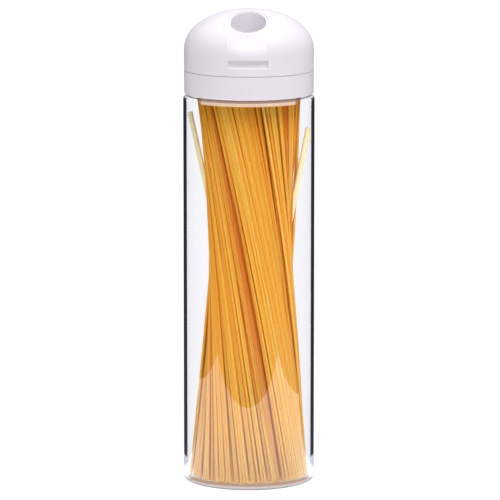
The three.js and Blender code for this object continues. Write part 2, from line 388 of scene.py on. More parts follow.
# What the foot's and the shoulder's rounding show, painted: reflections of the floor and the lid, the
# spaghetti seen through the glass and the shade under the lid, from the lowest height up, as colours with
# strengths.
# turn says between which distances from the middle, in X, the look changes to that of the sides.
FOOT_PAINTED_REFLECTION_AND_SHADE = {
    "heights": (0.0, 6 * MM),
    "turn": (37.4 * MM, 42.3 * MM),
    "middle": [                    # painted grey shade at the base, a painted pale reflection ring, painted brown strand ends above
        (0.0, (0.24, 0.24, 0.24, 0.9)),
        (0.16, (0.36, 0.36, 0.35, 0.9)),
        (0.27, (0.77, 0.68, 0.65, 0.88)),
        (0.36, (0.79, 0.66, 0.61, 0.88)),
        (0.58, (0.52, 0.31, 0.21, 0.92)),
        (0.70, (0.48, 0.28, 0.14, 0.82)),
        (0.96, (0.40, 0.22, 0.09, 0.0)),
    ],
    # at the sides, a painted grey shade with a paler painted reflection above it
    "sides": [
        (0.25, (0.36, 0.36, 0.37, 0.9)),
        (0.45, (0.62, 0.62, 0.65, 0.5)),
        (0.7, (0.62, 0.62, 0.65, 0.0)),
    ],
}
SHOULDER_PAINTED_REFLECTION_AND_SHADE = {
    "heights": (258.4 * MM, 262.4 * MM),
    "turn": (30.4 * MM, 33.2 * MM),
    "middle": [                    # painted pale reflection ring, a painted dark shade line above it, the lid's painted white over that
        (0.0, (1.0, 0.72, 0.50, 0.0)),
        (0.18, (1.0, 0.74, 0.54, 0.74)),
        (0.54, (0.91, 0.68, 0.56, 0.74)),
        (0.70, (0.30, 0.22, 0.18, 0.92)),
        (0.83, (0.80, 0.68, 0.64, 0.92)),
        (1.0, (0.80, 0.68, 0.64, 0.0)),
    ],
    # at the sides, a painted dark shade line under the lid
    "sides": [
        (0.69, (0.20, 0.20, 0.22, 0.0)),
        (0.84, (0.28, 0.28, 0.30, 0.7)),
        (1.0, (0.30, 0.30, 0.32, 0.0)),
    ],
}


def painted_reflection_band(tree, base, height, aside, from_outside, band):
    """The shader with a band of heights painted over its outside: painted reflections and painted shade
    in place of what the glass's rounding shows. The band has one look across the jar's front and back and
    another at its two sides, where no spaghetti stands behind it."""
    place = carried(tree, height, band["heights"])
    turn = carried(tree, aside, band["turn"], kind="SMOOTHSTEP")
    middle, sides = ramp(tree, place, band["middle"]), ramp(tree, place, band["sides"])
    colour, strength = [
        add(tree, "ShaderNodeMixRGB", links={"Fac": turn, "Color1": middle[part], "Color2": sides[part]})
        for part in ("Color", "Alpha")]
    # the painted reflections and shade, laid over the glass as a diffuse colour
    paint = add(tree, "ShaderNodeBsdfPrincipled", {"Roughness": 0.6, "Specular IOR Level": 0.0},
                {"Base Color": colour.outputs["Color"]})
    share = product(tree, strength.outputs["Color"], from_outside)
    return mixed(tree, share, base, paint.outputs["BSDF"])


def mirrored(tree, base, from_outside):
    """The shader with the clear reflection of a faintly uneven glass surface."""
    surface = relief(tree, noise(tree, object_place(tree), 9.0, 1.0), 0.05, 0.2 * MM)
    fresnel = add(tree, "ShaderNodeFresnel", {"IOR": GLASS_IOR}, {"Normal": surface})
    mirror = add(tree, "ShaderNodeBsdfGlossy", {"Roughness": 0.0}, {"Normal": surface})
    share = product(tree, fresnel.outputs["Fac"], from_outside)
    return mixed(tree, share, base, mirror.outputs["BSDF"])


def with_painted_edge_line(tree, base, height, normal, from_outside):
    """The shader with the painted line that shows where the wall is seen along itself: a painted stand-in
    for refraction, dark, as the edge of a clear tube is in front of a white ground, and pale at the foot."""
    facing = add(tree, "ShaderNodeLayerWeight", {"Blend": 0.5}).outputs["Facing"]
    edge = carried(tree, facing, (EDGE_START, EDGE_END), kind="SMOOTHSTEP")
    above_foot = carried(tree, height, FOOT_TOP, kind="SMOOTHSTEP")
    weight = carried(tree, above_foot, (0.0, 1.0), (FOOT_EDGE, 1.0))
    upward = add(tree, "ShaderNodeSeparateXYZ", links={"Vector": normal}).outputs["Z"]
    upright = carried(tree, upward, EDGE_SLOPES, (1.0, 0.0), "SMOOTHSTEP")
    share = product(tree, product(tree, edge, product(tree, weight, upright)), from_outside)
    colour = ramp(tree, above_foot, [(0.0, PAINTED_FOOT_EDGE_COLOUR), (1.0, PAINTED_EDGE_COLOUR)])["Color"]
    # the edge line is a painted colour, not refraction
    line = add(tree, "ShaderNodeBsdfPrincipled", {"Roughness": 0.35, "IOR": 1.2}, {"Base Color": colour})
    return mixed(tree, share, base, line.outputs["BSDF"])


def clear_glass(name, outside):
    """A thin clear wall that lets light straight through. Its outside also has the reflection, the
    painted edge lines and the painted reflections and shade for what the roundings of the foot and the
    shoulder show."""
    material, tree, output = new_material(name)
    look = add(tree, "ShaderNodeBsdfTransparent", {"Color": GLASS_TINT}).outputs["BSDF"]
    if outside:
        geometry = add(tree, "ShaderNodeNewGeometry").outputs
        front = add(tree, "ShaderNodeMath", {0: 1.0}, {1: geometry["Backfacing"]}, operation="SUBTRACT")
        from_outside = front.outputs["Value"]
        place = add(tree, "ShaderNodeSeparateXYZ", links={"Vector": object_place(tree)}).outputs
        aside = add(tree, "ShaderNodeMath", links={0: place["X"]}, operation="ABSOLUTE").outputs["Value"]
        look = mirrored(tree, look, from_outside)
        look = with_painted_edge_line(tree, look, place["Z"], geometry["Normal"], from_outside)
        for band in (FOOT_PAINTED_REFLECTION_AND_SHADE, SHOULDER_PAINTED_REFLECTION_AND_SHADE):
            look = painted_reflection_band(tree, look, place["Z"], aside, from_outside, band)
    is_shadow = add(tree, "ShaderNodeLightPath").outputs["Is Shadow Ray"]
    lamps = add(tree, "ShaderNodeBsdfTransparent", {"Color": LAMPS_THROUGH_GLASS}).outputs["BSDF"]
    tree.links.new(mixed(tree, is_shadow, look, lamps), output.inputs["Surface"])
    return material


# ---- jar --------------------------------------------------------------------------------------


def glass_canister():
    """The jar as one closed turned body, its outside and its inside in two kinds of clear glass."""
    inner = GLASS_RADIUS - GLASS_WALL
    neck_inner = NECK_RADIUS - GLASS_WALL
    under = SHOULDER_TOP - GLASS_WALL
    outside = [
        (0, 0, 0),
        (GLASS_RADIUS, 0, 2.2 * MM),
        (GLASS_RADIUS, SHOULDER_TOP, 3 * MM),
        (NECK_RADIUS, SHOULDER_TOP, 0.8 * MM),
        (NECK_RADIUS, NECK_TOP, 1.1 * MM),
    ]
    inside = [
        (neck_inner, NECK_TOP, 1.1 * MM),
        (neck_inner, under, 1.2 * MM),
        (inner, under - 1.2 * MM, 1.6 * MM),
        (inner, GLASS_FLOOR, 1.5 * MM),
        (0, GLASS_FLOOR, 0),
    ]
    outline = rounded_outline(outside + inside, closed=False, steps=8)
    vertices, faces = turned_mesh(outline, closed=False, segments=192)
    jar = make_object("clear_jar", vertices, faces, "jar", ["glass_jar"])
    jar.data.materials.append(clear_glass("jar_glass_outside", outside=True))
    jar.data.materials.append(clear_glass("jar_glass_inside", outside=False))
    for polygon in jar.data.polygons:
        centre = polygon.center
        radius = math.hypot(centre.x, centre.y)
        in_neck = centre.z > SHOULDER_TOP
        limit = NECK_RADIUS - GLASS_WALL / 2 if in_neck else GLASS_RADIUS - GLASS_WALL / 2
        near_top_or_foot = centre.z < GLASS_FLOOR / 2 or (radius > neck_inner and centre.z > under + MM)
        polygon.material_index = 0 if radius > limit or near_top_or_foot else 1


# ---- lid --------------------------------------------------------------------------------------


FLANGE_RADIUS = 38 * MM            # inner radius of the collar's top flange
FLANGE_THICKNESS = 1.6 * MM


def collar(plastic):
    inner = LID_RADIUS - LID_WALL
    flange_low = collar_high.z - FLANGE_THICKNESS
    ring = turned("collar_band", [
        (inner, collar_low.z, 0.5 * MM),
        (LID_RADIUS, collar_low.z, 0.9 * MM),
        (LID_RADIUS, collar_high.z + SEAM_RISE, 0.2 * MM),
        (FLANGE_RADIUS, collar_high.z + SEAM_RISE, 0.3 * MM),
        (FLANGE_RADIUS, flange_low, 0.3 * MM),
        (inner, flange_low, 0.4 * MM),
    ], "lid_base", ["lid_collar"], segments=192)
    ring.data.materials.append(plastic)


CROWN_SAMPLES = 4000               # points of the table of the crown's outline
WALL_SAMPLES = 200                 # and of the upright wall below it


def crown_point(arc_length, azimuth, inset=0.0):
    """A point of the dome's outer surface and its normal, from the arc length below the apex."""
    radius = np.interp(arc_length, CROWN_ARC, CROWN_RADIUS)
    height = np.interp(arc_length, CROWN_ARC, CROWN_HEIGHT)
    normal_r = np.interp(arc_length, CROWN_ARC, CROWN_NORMAL_R)
    normal_z = np.interp(arc_length, CROWN_ARC, CROWN_NORMAL_Z)
    sine, cosine = np.sin(azimuth), -np.cos(azimuth)
    normal = np.stack([normal_r * sine, normal_r * cosine, normal_z], axis=-1)
    point = np.stack([radius * sine, radius * cosine, height], axis=-1)
    return point - normal * inset, normal


def crown_tables():
    """The dome's outline from its apex down to its rim, with the arc length along it."""
    rise = DOME_TOP - SPRING_LINE
    angle = np.linspace(math.pi / 2, 0, CROWN_SAMPLES)
    radius = LID_RADIUS * np.cos(angle) ** (2 / CROWN_ROUNDNESS)
    height = SPRING_LINE + rise * np.sin(angle) ** (2 / CROWN_ROUNDNESS)
    radius[0] = 0.0
    wall = np.linspace(SPRING_LINE, DOME_BOTTOM, WALL_SAMPLES)[1:]
    radius = np.concatenate([radius, np.full(wall.shape, LID_RADIUS)])
    height = np.concatenate([height, wall])
    steps = np.hypot(np.diff(radius), np.diff(height))
    arc_length = np.concatenate([[0.0], np.cumsum(steps)])
    along_r = np.gradient(radius, arc_length)
    along_z = np.gradient(height, arc_length)
    return arc_length, radius, height, -along_z, along_r


CROWN_ARC, CROWN_RADIUS, CROWN_HEIGHT, CROWN_NORMAL_R, CROWN_NORMAL_Z = crown_tables()
CROWN_LENGTH = float(CROWN_ARC[-1])


def crown_height(x, y):
    """Height of the plain dome over a point of the plan."""
    share = np.clip(np.hypot(x, y) / LID_RADIUS, 0, 1) ** CROWN_ROUNDNESS
    return SPRING_LINE + (DOME_TOP - SPRING_LINE) * (1 - share) ** (1 / CROWN_ROUNDNESS)


def slope_between(low, high):
    return (high[1] - low[1]) / (high[0] - low[0])


GENTLE_SLOPE = slope_between(CHUTE_BRINK, CHUTE_TOP)
STEEP_SLOPE = slope_between(CHUTE_KNEE, CHUTE_BRINK)
LOW_SLOPE = slope_between(CHUTE_BOTTOM, CHUTE_KNEE)


def chute_floor(y):
    """Height of the chute's floor: gentle beside the spout, steep in front of it, then less so."""
    gentle = CHUTE_BRINK[1] + GENTLE_SLOPE * (y - CHUTE_BRINK[0])
    steep = CHUTE_KNEE[1] + STEEP_SLOPE * (y - CHUTE_KNEE[0])
    low = CHUTE_KNEE[1] + LOW_SLOPE * (y - CHUTE_KNEE[0])
    front = low + soft_positive(steep - low, KNEE_SOFTNESS)
    return gentle - soft_positive(gentle - front, BRINK_SOFTNESS)


def carve(points, normals):
    """Presses the chute and the thumb notch into points of the dome's surface."""
    x, y, z = points[..., 0], points[..., 1], points[..., 2]
    in_front = np.where(y < 0, 1.0, 0.0)
    facing = np.array([0.0, -STEEP_SLOPE, 1.0]) / math.hypot(1.0, STEEP_SLOPE)
    over = (z - chute_floor(y)) * facing[2]
    side_reach, side_slope = CHUTE_SIDE
    across = smoothstep((CHUTE_HALF_WIDTH + side_reach - np.abs(x)) / side_slope)
    drop = np.where(over > -CHUTE_FADE, soft_positive(over, CHUTE_SOFTNESS), 0.0)
    drop = drop + CHUTE_STEP * smoothstep(over / CHUTE_FADE + 1)
    points = points - facing * (drop * across * in_front)[..., None]

    sides = smoothstep((NOTCH_HALF_WIDTH - np.abs(x)) / NOTCH_EDGE + 0.5)
    ledge = smoothstep((NOTCH_HIGH - z) / NOTCH_EDGE + 0.5)
    sill = smoothstep((z - NOTCH_LOW) / NOTCH_EDGE + 0.5)
    rise = np.clip((z - NOTCH_LOW) / (NOTCH_HIGH - NOTCH_LOW), 0, 1)
    slant = NOTCH_SILL_DEPTH + (1 - NOTCH_SILL_DEPTH) * rise
    scoop = 1 - NOTCH_END_RISE * (np.abs(x) / NOTCH_HALF_WIDTH) ** 2
    depth = NOTCH_DEPTH * slant * scoop * sides * ledge * sill * in_front
    return points - normals * depth[..., None]


HOLE_FRONT = 34                    # columns of the dome's grid round a quarter of the hole, at its front
HOLE_BACK = 90                     # and round a quarter at its back
RIM_CROWDING = 1.7                 # how much the rim's back columns crowd towards the front


def dome_columns():
    """Matching angles round the spout hole and round the rim. Columns run straight forward from
    the front half of the hole, so that they follow the chute's and the notch's sides."""
    hole = []
    rim = []
    corner = math.asin(SPOUT_HOLE / LID_RADIUS)
    for i in range(HOLE_FRONT):
        angle = (i / HOLE_FRONT) * math.pi / 2
        hole.append(angle)
        rim.append(math.asin(SPOUT_HOLE * math.sin(angle) / LID_RADIUS))
    for i in range(HOLE_BACK + 1):
        share = i / HOLE_BACK
        hole.append(math.pi / 2 + share * math.pi / 2)
        rim.append(corner + (math.pi - corner) * share ** RIM_CROWDING)
    hole = np.array(hole)
    rim = np.array(rim)
    return (np.concatenate([hole, 2 * math.pi - hole[-2:0:-1]]),
            np.concatenate([rim, 2 * math.pi - rim[-2:0:-1]]))


def round_hole(radius, angle, height):
    """A row of points round the spout hole."""
    return np.stack([radius * np.sin(angle), SPOUT_Y - radius * np.cos(angle), height], axis=-1)


OUTER_STEPS = 150                  # rows of the dome's grid down its outside
INNER_STEPS = 50                   # and up its inside
EDGE_STEPS = 5                     # and round each of its edges


def dome_shell(plastic):
    """The dome as one closed grid: down the outside from the spout hole to the rim, round the rim,
    back up the inside and out through the hole's wall."""
    hole_angle, rim_angle = dome_columns()
    behind = smoothstep(-np.cos(hole_angle) * 2 - 1)
    wall_radius = SPOUT_HOLE + BACK_GAP * behind
    hole_radius = wall_radius + HOLE_LIP
    hole_x = hole_radius * np.sin(hole_angle)
    hole_y = SPOUT_Y - hole_radius * np.cos(hole_angle)
    crown = slice(0, CROWN_SAMPLES)
    hole_arc = np.interp(np.hypot(hole_x, hole_y), CROWN_RADIUS[crown], CROWN_ARC[crown])
    hole_azimuth = np.arctan2(hole_x, -hole_y)
    start = np.stack([hole_arc * np.sin(hole_azimuth), hole_arc * np.cos(hole_azimuth)], axis=-1)
    rim_arc = CROWN_LENGTH - RIM_EDGE
    end = np.stack([rim_arc * np.sin(rim_angle), rim_arc * np.cos(rim_angle)], axis=-1)

    def surface_row(share):
        flat = start + (end - start) * share
        arc_length = np.hypot(flat[:, 0], flat[:, 1])
        point, normal = crown_point(arc_length, np.arctan2(flat[:, 0], flat[:, 1]))
        return carve(point, normal), normal

    outside = [surface_row(i / OUTER_STEPS) for i in range(OUTER_STEPS + 1)]
    hole_edge = outside[0][0][:, 2]
    rows = []
    for i in range(EDGE_STEPS, 0, -1):
        angle = i / EDGE_STEPS * math.pi / 2
        inward = HOLE_LIP * math.sin(angle)
        down = HOLE_LIP * (1 - math.cos(angle))
        rows.append(round_hole(hole_radius - inward, hole_angle, hole_edge - down))
    rows += [point for point, _ in outside]

    rim_point, rim_normal = outside[-1]
    level_normal = rim_normal * np.array([1, 1, 0])
    for i in range(1, EDGE_STEPS + 1):
        angle = i / EDGE_STEPS * math.pi / 2
        row = rim_point - level_normal * (RIM_EDGE * (1 - math.cos(angle)))
        row[:, 2] = DOME_BOTTOM + RIM_EDGE * (1 - math.sin(angle))
        rows.append(row)
    inner_edge = rim_point - level_normal * (LID_WALL - RIM_INNER_EDGE)
    inner_edge[:, 2] = DOME_BOTTOM
    rows.append(inner_edge)
    for i in range(INNER_STEPS, -1, -1):
        point, normal = surface_row(i / INNER_STEPS)
        row = point - normal * LID_WALL
        if i == INNER_STEPS:
            row[:, 2] = DOME_BOTTOM + RIM_INNER_EDGE
        if i == 0:
            row = round_hole(wall_radius, hole_angle, point[:, 2] - LID_WALL * 1.2)
        rows.append(row)
    faces = grid_faces(len(rows), len(hole_angle), wrap_rows=True)
    shell = make_object("dome_shell", np.concatenate(rows), faces, "dome", ["dome_cap"])
    shell.data.materials.append(plastic)


def sleeve_top(x, y):
    """The sleeve's end follows the dome's carved surface, a little below it."""
    crown = crown_height(x, y)
    floor = chute_floor(y)
    lower = floor - soft_positive(floor - crown, 0.3 * MM)
    return lower - SLEEVE_LIP_DROP - CHUTE_STEP * smoothstep((crown - floor) / MM + 1)


SLEEVE_FLANGE = 1.5 * MM           # thickness of the flange at the sleeve's foot
LIP_STEPS = 4                      # rows round each half of the sleeve's lip
SLEEVE_WALL_ROWS = (0.02, 0.3, 0.6)  # shares of the way down at which the sleeve's wall has a row


def measuring_sleeve(plastic):
    """The open tube in the spout hole: round its lip, down its outside, round its flange and back up."""
    segments = 144
    angle = np.linspace(0, 2 * math.pi, segments, endpoint=False)
    across, along = np.sin(angle), -np.cos(angle)
    middle = (SLEEVE_OUTER + SLEEVE_BORE) / 2
    end_height = sleeve_top(middle * across, SPOUT_Y + middle * along)
    flange_radius = (sleeve_high.x - sleeve_low.x) / 2
    flange_low = sleeve_low.z
    flange_high = flange_low + SLEEVE_FLANGE
    flange = rounded_outline([
        (SLEEVE_OUTER, DOME_TOP, 0),
        (SLEEVE_OUTER, flange_high, 0.6 * MM),
        (flange_radius, flange_high, 0.3 * MM),
        (flange_radius, flange_low, 0.3 * MM),
        (SLEEVE_BORE, flange_low, 0.3 * MM),
        (SLEEVE_BORE, DOME_TOP, 0),
    ], closed=False)[1:-1]

    def wall_row(radius, share):
        return radius, end_height * (1 - share) + flange_high * share - SLEEVE_LIP

    rows = []
    for centre, first in ((SLEEVE_BORE + SLEEVE_LIP, 0), (SLEEVE_OUTER - SLEEVE_LIP, LIP_STEPS)):
        for step in range(first, first + LIP_STEPS + 1):
            bend = math.pi / 2 * step / LIP_STEPS
            height = end_height - SLEEVE_LIP * (1 - math.sin(bend))
            rows.append((centre - SLEEVE_LIP * math.cos(bend), height))
    rows += [wall_row(SLEEVE_OUTER, share) for share in SLEEVE_WALL_ROWS]
    rows += [(radius, np.full(segments, height)) for radius, height in flange]
    rows += [wall_row(SLEEVE_BORE, share) for share in reversed(SLEEVE_WALL_ROWS)]
    vertices = np.concatenate([
        np.stack([radius * across, SPOUT_Y + radius * along, height], axis=-1)
        for radius, height in rows])
    faces = [tuple(reversed(face)) for face in grid_faces(len(rows), segments, wrap_rows=True)]
    sleeve = make_object("sleeve_tube", vertices, faces, "dome", ["measuring_sleeve"])
    sleeve.data.materials.append(plastic)


# ---- hidden parts of the lid ------------------------------------------------------------------

DECK_GAP = 0.3 * MM                # between the deck and the seal that slides on it
DECK_THICKNESS = 1.8 * MM
BOSS_RADIUS = 6.5 * MM             # the deck's boss, which the dome's post turns on
BOSS_HOLE = 2.2 * MM
PLUG_INNER = 35.5 * MM
PLUG_OUTER = 36.9 * MM
PLUG_LIP = (37.6 * MM, 1.2 * MM)   # radius and height
PORT_RADIUS = 12 * MM
GASKET_BORE = 37.2 * MM
GASKET_WALL = 0.35 * MM
GASKET_RIBS = 3
RIB_HEIGHT = 1 * MM
RIB_DEPTH = 0.45 * MM
SEAL_RADII = (12.2 * MM, 14.2 * MM)
SCREW_SOCKET = (1.7 * MM, 1.2 * MM)  # radius and depth
SCREW_SHANK = 1.9 * MM
POST_RADIUS = 5 * MM
POST_HOLE_TOP = 306 * MM


def cut_port(deck, low, high):
    """Cuts the round port through the deck and softens the edges that this leaves."""
    outline = [(0, low), (PORT_RADIUS, low), (PORT_RADIUS, high), (0, high)]
    vertices, faces = turned_mesh(outline, closed=False, segments=96, centre=(0, -SPOUT_Y))
    cutter_mesh = bpy.data.meshes.new("port_cutter")
    cutter_mesh.from_pydata(vertices, [], faces)
    cutter = bpy.data.objects.new("port_cutter", cutter_mesh)
    bpy.context.scene.collection.objects.link(cutter)
    cut = deck.modifiers.new("port", "BOOLEAN")
    cut.operation = "DIFFERENCE"
    cut.object = cutter
    cut.solver = "EXACT"
    soften = deck.modifiers.new("port_edge", "BEVEL")
    soften.width = 0.3 * MM
    soften.segments = 3
    soften.limit_method = "ANGLE"
    soften.angle_limit = math.radians(50)
    bpy.context.view_layer.update()
    depsgraph = bpy.context.evaluated_depsgraph_get()
    cut_mesh = bpy.data.meshes.new_from_object(deck.evaluated_get(depsgraph))
    deck.modifiers.clear()
    deck.data = cut_mesh
    bpy.data.objects.remove(cutter)


def port_deck(plastic):
    """The deck under the dome, with its boss, its port and the plug that goes into the neck."""
    top = seal_low.z - DECK_GAP
    bottom = top - DECK_THICKNESS
    rim = deck_high.x
    lip_radius, lip_height = PLUG_LIP
    lip_top = deck_low.z + lip_height
    deck = turned("port_deck_moulding", [
        (BOSS_HOLE, bottom, 0.2 * MM),
        (PLUG_INNER, bottom, 0.5 * MM),
        (PLUG_INNER, deck_low.z, 0.4 * MM),
        (lip_radius, deck_low.z, 0.4 * MM),
        (lip_radius, lip_top, 0.3 * MM),
        (PLUG_OUTER, lip_top, 0.1 * MM),
        (PLUG_OUTER, bottom, 0.3 * MM),
        (rim, bottom, 0.4 * MM),
        (rim, top, 0.4 * MM),
        (BOSS_RADIUS, top, 0.8 * MM),
        (BOSS_RADIUS, deck_high.z, 0.4 * MM),
        (BOSS_HOLE, deck_high.z, 0.2 * MM),
    ], "lid_base", ["port_deck"], segments=160)
    deck.data.materials.append(plastic)
    cut_port(deck, bottom - 3 * MM, top + 3 * MM)


def ribbed_gasket(rubber):
    """The silicone skirt on the plug, with its ribs and its top flange."""
    outer = GASKET_BORE + GASKET_WALL
    flange_radius = gasket_high.x
    flange_low = gasket_high.z - 1 * MM
    corners = [(GASKET_BORE, gasket_low.z, 0.1 * MM), (outer, gasket_low.z, 0.1 * MM)]
    pitch = (flange_low - gasket_low.z) / GASKET_RIBS
    for i in range(GASKET_RIBS):
        middle = gasket_low.z + (i + 0.5) * pitch
        corners += [(outer, middle - RIB_HEIGHT / 2, 0.12 * MM),
                    (outer + RIB_DEPTH, middle, 0.15 * MM),
                    (outer, middle + RIB_HEIGHT / 2, 0.12 * MM)]
    corners += [(outer, flange_low, 0.15 * MM), (flange_radius, flange_low, 0.3 * MM),
                (flange_radius, gasket_high.z, 0.3 * MM), (GASKET_BORE, gasket_high.z, 0.1 * MM)]
    outline = rounded_outline(corners, closed=True, steps=3, guard=0.05 * MM)
    vertices, faces = turned_mesh(outline, closed=True, segments=144)
    gasket = make_object("ribbed_gasket", vertices, faces, "lid_base", ["neck_gasket"])
    gasket.data.materials.append(rubber)


def sleeve_seal(rubber):
    inner, outer = SEAL_RADII
    seal = turned("sleeve_seal_ring", [
        (inner, seal_low.z, 0.2 * MM),
        (outer, seal_low.z, 0.2 * MM),
        (outer, seal_high.z, 0.2 * MM),
        (inner, seal_high.z, 0.2 * MM),
    ], "dome", ["sleeve_seal"], segments=96, centre=(0, SPOUT_Y))
    seal.data.materials.append(rubber)


def pivot_screw(steel):
    """The screw that holds the dome down, and its washer."""
    rim = washer_high.x
    washer = turned("thrust_washer", [
        (BOSS_HOLE, washer_low.z, 0.1 * MM),
        (rim, washer_low.z, 0.2 * MM),
        (rim, washer_high.z, 0.2 * MM),
        (BOSS_HOLE, washer_high.z, 0.1 * MM),
    ], "dome", ["pivot_washer"], segments=64)
    washer.data.materials.append(steel)

    head_radius = screw_high.x
    head_high = washer_low.z - 0.3 * MM
    socket_radius, socket_depth = SCREW_SOCKET
    screw = turned("pivot_screw_body", [
        (0, screw_low.z + socket_depth, 0),
        (socket_radius, screw_low.z + socket_depth, 0.1 * MM),
        (socket_radius, screw_low.z, 0.15 * MM),
        (head_radius, screw_low.z, 0.7 * MM),
        (head_radius, head_high, 0.15 * MM),
        (SCREW_SHANK, head_high, 0.15 * MM),
        (SCREW_SHANK, screw_high.z - 1.2 * MM, 0.4 * MM),
        (0, screw_high.z, 0),
    ], "dome", ["pivot_screw"], closed=False, segments=48)
    screw.data.materials.append(steel)


def dome_post(plastic):
    """The post under the dome's crown that the screw goes up into."""
    bottom = deck_high.z + 0.4 * MM
    post = turned("dome_post", [
        (0, POST_HOLE_TOP, 0),
        (BOSS_HOLE, POST_HOLE_TOP, 0.2 * MM),
        (BOSS_HOLE, bottom, 0.2 * MM),
        (POST_RADIUS, bottom, 0.4 * MM),
        (POST_RADIUS, DOME_TOP - LID_WALL, 0.1 * MM),
        (0, DOME_TOP - LID_WALL, 0),
    ], "dome", closed=False, segments=48)
    post.data.materials.append(plastic)


# ---- spaghetti --------------------------------------------------------------------------------

STRAND_RADIUS = 1.0 * MM
STRAND_LENGTH = 262 * MM
BUNDLE_FOOT = 39.7 * MM            # outer radius of the bundle on the jar's floor
BUNDLE_HEAD = 34.2 * MM            # and at its top
BUNDLE_LEAN = 2.1 * MM             # how far the bundle's waist stands to +X
BUNDLE_TWIST = math.radians(-90)   # how far the head is turned against the foot
BUNDLE_ROWS = 15
OUTER_ROWS = 4                     # rings that are laid irregularly
OUTER_CROWDING = 1.22              # how much closer their strands lie
STRAND_PITCH = 2.04                # distance between neighbours, in strand radii
WAIST_RADIUS = 28.5 * MM
WAIST_BULGE = 1.6 * MM             # how far the outermost strands bow outwards halfway up
STRAND_STEPS = 8
FOOT_STRAY = 0.35                  # the strands' feet stray less than their heads
FLOOR_REST = 0.3                   # height of a strand's foot above the floor, in strand radii
SHEAF_SIZE = (2, 6)                # fewest and most strands that stray together
SHEAF_STRAY = (0.07, 0.02)         # spread of an outer and of an inner sheaf's stray, in twists
SHEAF_SINK = 0.04                  # how much deeper an outer sheaf can lie, as a share of the radius
SHEAF_BOW = 0.5 * MM               # spread of how far an outer sheaf bows out
STRAND_STRAY = 0.012               # the same spreads for a single strand within its sheaf
STRAND_SINK = 0.012
GAP_CHANCE = 0.06                  # chance that a strand is missing from an outer ring
RING_TURN = 0.7                    # angle from each ring's first strand to the next ring's, in radians
MIDDLE_TONE = 0.52
SUNK_SHEAF_PAINTED_SHADE = 4                 # painted shade: how much darker a sunk sheaf is, for its sink
INNER_RING_PAINTED_SHADE = 0.1               # painted shade: how much darker each of the next two rings is
SHEAF_TONE_SPREAD = 0.1
STRAND_TONE_SPREAD = 0.14
PALEST_TONE = 0.72
LOOSE_PAINTED_LIGHT_TONE = 1.0                   # the loose strands are the palest: painted light, as they stand in the bundle's shade
LOOSE_RADIUS = 1.15 * MM
LOOSE_SIDES = 12


def strand_mesh(path, radius, sides, phase):
    """A round strand along a path of points, closed at both ends."""
    path = np.asarray(path)
    tangent = path[-1] - path[0]
    tangent = tangent / np.linalg.norm(tangent)
    side = np.cross(tangent, [0.0, 1.0, 0.0])
    side = side / np.linalg.norm(side)
    other = np.cross(tangent, side)
    angles = phase + 2 * math.pi * np.arange(sides) / sides
    ring = radius * (np.cos(angles)[:, None] * side + np.sin(angles)[:, None] * other)
    vertices = (path[:, None, :] + ring[None, :, :]).reshape(-1, 3)
    faces = grid_faces(len(path), sides, wrap_rows=False)
    last = (len(path) - 1) * sides
    faces.append(tuple(range(sides - 1, -1, -1)))
    faces.append(tuple(range(last, last + sides)))
    return vertices, faces


def strands_object(name, strands, material, radius=STRAND_RADIUS):
    """One object of many strands, each (path, tone, sides), with the tone kept on its points."""
    vertices = []
    faces = []
    tones = []
    count = 0
    for path, tone, sides in strands:
        new_vertices, new_faces = strand_mesh(path, radius, sides, random.uniform(0, 1))
        vertices.append(new_vertices)
        faces += [tuple(v + count for v in face) for face in new_faces]
        tones += [tone] * len(new_vertices)
        count += len(new_vertices)
    obj = make_object(name, np.concatenate(vertices), faces, "jar")
    attribute = obj.data.attributes.new("strand_tone", "FLOAT", "POINT")
    attribute.data.foreach_set("value", tones)
    obj.data.materials.append(material)
    return obj


def bundle_strand(radius_share, angle, stray, bow):
    """A strand of the twisted bundle from its place on the floor to its place at the top."""
    foot = BUNDLE_FOOT * radius_share
    head = BUNDLE_HEAD * radius_share
    low_angle = angle - BUNDLE_TWIST * (1 + stray * FOOT_STRAY) / 2
    high_angle = angle + BUNDLE_TWIST * (1 + stray * (2 - FOOT_STRAY)) / 2
    low = np.array([foot * math.cos(low_angle), foot * math.sin(low_angle)])
    high = np.array([head * math.cos(high_angle), head * math.sin(high_angle)])
    rise = math.sqrt(STRAND_LENGTH ** 2 - float(np.sum((high - low) ** 2)))
    lift = GLASS_FLOOR + STRAND_RADIUS * FLOOR_REST + random.uniform(0, 0.4) * MM
    outward = np.array([math.cos(angle), math.sin(angle)])
    lean = np.array([BUNDLE_LEAN, 0.0])
    path = []
    for i in range(STRAND_STEPS + 1):
        share = i / STRAND_STEPS
        swell = math.sin(math.pi * share)
        bulge = outward * (bow + WAIST_BULGE * radius_share)
        place = low * (1 - share) + high * share + (bulge + lean) * swell
        path.append([place[0], place[1], lift + rise * share])
    return path


